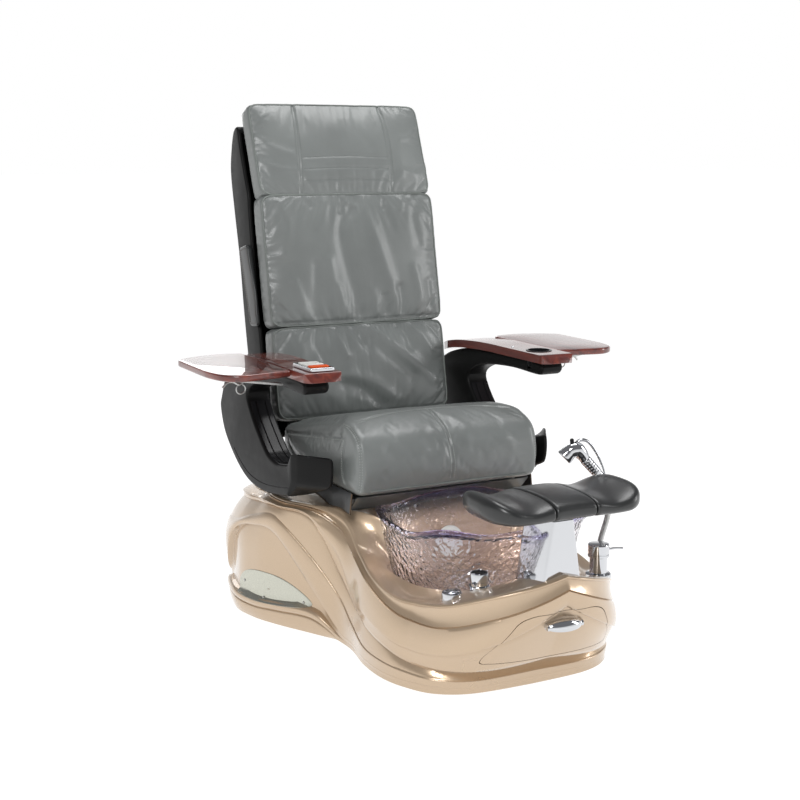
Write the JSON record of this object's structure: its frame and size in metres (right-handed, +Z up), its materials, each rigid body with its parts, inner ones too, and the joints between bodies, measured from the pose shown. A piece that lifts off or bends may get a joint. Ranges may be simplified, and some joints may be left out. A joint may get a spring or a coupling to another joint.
{
  "type": "pedicure spa chair",
  "caption": "Salon pedicure chair: moulded foot-bath base with glass bowl, sliding seat, reclining padded back, C arms, fold-down side trays and a foot rest.",
  "frame": {"origin": "on the floor, under the centre of the overall box", "axes": "+X towards the sitter's left, -Y towards the front, +Z up"},
  "size_m": [1.24, 1.4602, 1.4451],
  "materials": {
    "gelcoat": "metallic champagne gelcoat, polished",
    "grey_leather": "smooth grey leather, satin",
    "dark_leather": "black leather, satin",
    "black_plastic": "fine textured black moulding",
    "cherry": "cherry stained board under clear gloss lacquer",
    "chrome": "polished",
    "brushed_plate": "brushed",
    "steel": "satin",
    "bowl_glass": "clear hammered glass with a lilac tint",
    "black_foam": "moulded polyurethane, satin",
    "white_plastic": "satin",
    "orange_plastic": "satin"
  },
  "bodies": {
    "base": {"base_housing": "gelcoat", "chassis_frame": "steel", "jet_pump": "black_plastic", "control_box": "black_plastic", "drain_pipe": "white_plastic", "flank_badge_right": "brushed_plate", "flank_badge_left": "brushed_plate", "glass_bowl": "bowl_glass", "drain_fitting": "chrome", "jet_cover": "gelcoat", "air_button_ring": "chrome", "knob_collar": "chrome", "mixer_body": "chrome", "metal_hose": "steel", "footrest_pedestal": "chrome", "seat_rail_right": "steel", "seat_rail_left": "steel", "shower_handle": "chrome", "shower_head": "chrome"},
    "drawer": {"drawer_front": "gelcoat", "drawer_box": "white_plastic", "drawer_pull": "chrome"},
    "stopper": {"drain_stopper": "chrome"},
    "air_button": {"air_button": "chrome"},
    "knob": {"diverter_knob": "chrome"},
    "mixer_lever": {"mixer_lever": "chrome"},
    "shower_trigger": {"shower_trigger": "black_plastic"},
    "footrest": {"footrest_post": "steel", "footrest_pad_right": "black_foam", "footrest_pad_middle": "black_foam", "footrest_pad_left": "black_foam"},
    "seat": {"seat_frame": "steel", "seat_cushion": "grey_leather", "seat_apron": "dark_leather", "arm_right": "black_plastic", "arm_left": "black_plastic", "arm_top_right": "cherry", "arm_top_left": "cherry", "keypad": "chrome", "recline_motor": "black_plastic"},
    "tray_right": {"tray_right": "cherry"},
    "tray_left": {"tray_left": "cherry"},
    "strut_right": {"tray_strut_right": "steel"},
    "strut_left": {"tray_strut_left": "steel"},
    "release_right": {"tray_release_right": "steel"},
    "release_left": {"tray_release_left": "steel"},
    "power_button": {"power_button": "orange_plastic"},
    "massage_button": {"massage_button": "white_plastic"},
    "recline_button": {"recline_button": "white_plastic"},
    "back": {"back_shell": "black_plastic", "head_pillow": "grey_leather", "middle_pad": "grey_leather", "lower_pad": "grey_leather", "side_pocket_right": "dark_leather", "side_pocket_left": "dark_leather", "back_frame": "steel"},
    "carriage": {"massage_carriage": "black_plastic"},
    "roller_right": {"massage_roller_right": "white_plastic"},
    "roller_left": {"massage_roller_left": "white_plastic"},
    "recline_rod": {"recline_rod": "steel"}
  },
  "joints": [
    {"name": "seat_slide", "type": "slide", "parent": "base", "child": "seat", "axis": [0, 1, 0], "range_m": [0, 0.1]},
    {"name": "back_recline", "type": "hinge", "parent": "seat", "child": "back", "pos_m": [0, 0.405, 0.47], "axis": [-1, 0, 0], "range_deg": [0, 25]},
    {"name": "recline_rod_travel", "type": "slide", "parent": "seat", "child": "recline_rod", "axis": [0, -1, 0], "range_m": [0, 0.046]},
    {"name": "carriage_travel", "type": "slide", "parent": "back", "child": "carriage", "axis": [0, 0.192, 0.9814], "range_m": [-0.2, 0.2]},
    {"name": "roller_right_turn", "type": "hinge", "parent": "carriage", "child": "roller_right", "pos_m": [0, 0.558, 0.868], "axis": [1, 0, 0], "continuous": true},
    {"name": "roller_left_turn", "type": "hinge", "parent": "carriage", "child": "roller_left", "pos_m": [0, 0.558, 0.868], "axis": [1, 0, 0], "continuous": true},
    {"name": "tray_left_fold", "type": "hinge", "parent": "seat", "child": "tray_left", "pos_m": [0.415, 0, 0.729], "axis": [0, 1, 0], "range_deg": [0, 90]},
    {"name": "tray_right_fold", "type": "hinge", "parent": "seat", "child": "tray_right", "pos_m": [-0.415, 0, 0.729], "axis": [0, -1, 0], "range_deg": [0, 90]},
    {"name": "strut_left_fold", "type": "hinge", "parent": "seat", "child": "strut_left", "pos_m": [0.4085, 0.06, 0.7], "axis": [0, 1, 0], "range_deg": [0, 98.6]},
    {"name": "strut_right_fold", "type": "hinge", "parent": "seat", "child": "strut_right", "pos_m": [-0.4085, 0.06, 0.7], "axis": [0, -1, 0], "range_deg": [0, 98.6]},
    {"name": "release_left_pull", "type": "hinge", "parent": "tray_left", "child": "release_left", "pos_m": [0.5, 0.1, 0.722], "axis": [0, 1, 0], "range_deg": [-12, 0], "stiffness_Nm_per_rad": 0.2},
    {"name": "release_right_pull", "type": "hinge", "parent": "tray_right", "child": "release_right", "pos_m": [-0.5, 0.1, 0.722], "axis": [0, -1, 0], "range_deg": [-12, 0], "stiffness_Nm_per_rad": 0.2},
    {"name": "power_button_press", "type": "slide", "parent": "seat", "child": "power_button", "axis": [0, 0, -1], "range_m": [0, 0.002], "stiffness_N_per_m": 600},
    {"name": "massage_button_press", "type": "slide", "parent": "seat", "child": "massage_button", "axis": [0, 0, -1], "range_m": [0, 0.002], "stiffness_N_per_m": 600},
    {"name": "recline_button_press", "type": "slide", "parent": "seat", "child": "recline_button", "axis": [0, 0, -1], "range_m": [0, 0.002], "stiffness_N_per_m": 600},
    {"name": "drawer_slide", "type": "slide", "parent": "base", "child": "drawer", "axis": [0, -1, 0], "range_m": [0, 0.12]},
    {"name": "stopper_lift", "type": "slide", "parent": "base", "child": "stopper", "axis": [0, 0, 1], "range_m": [0, 0.02]},
    {"name": "air_button_press", "type": "slide", "parent": "base", "child": "air_button", "axis": [0, 0, -1], "range_m": [0, 0.003], "stiffness_N_per_m": 900},
    {"name": "knob_turn", "type": "hinge", "parent": "base", "child": "knob", "pos_m": [-0.128, -0.5, 0.26], "axis": [0, 0, 1], "range_deg": [-90, 90]},
    {"name": "mixer_turn", "type": "hinge", "parent": "base", "child": "mixer_lever", "pos_m": [0.196, -0.54, 0.252], "axis": [0, 0, 1], "range_deg": [-45, 45]},
    {"name": "trigger_press", "type": "slide", "parent": "base", "child": "shower_trigger", "axis": [0, 0, -1], "range_m": [0, 0.002], "stiffness_N_per_m": 500},
    {"name": "footrest_height", "type": "slide", "parent": "base", "child": "footrest", "axis": [0, 0, 1], "range_m": [0, 0.05]}
  ],
  "couplings": [
    {"joint": "recline_rod_travel", "follows": "back_recline", "m_per_rad": 0.105},
    {"joint": "roller_left_turn", "follows": "roller_right_turn", "ratio": 1},
    {"joint": "strut_left_fold", "follows": "tray_left_fold", "ratio": 1.0944},
    {"joint": "strut_right_fold", "follows": "tray_right_fold", "ratio": 1.0944}
  ]
}
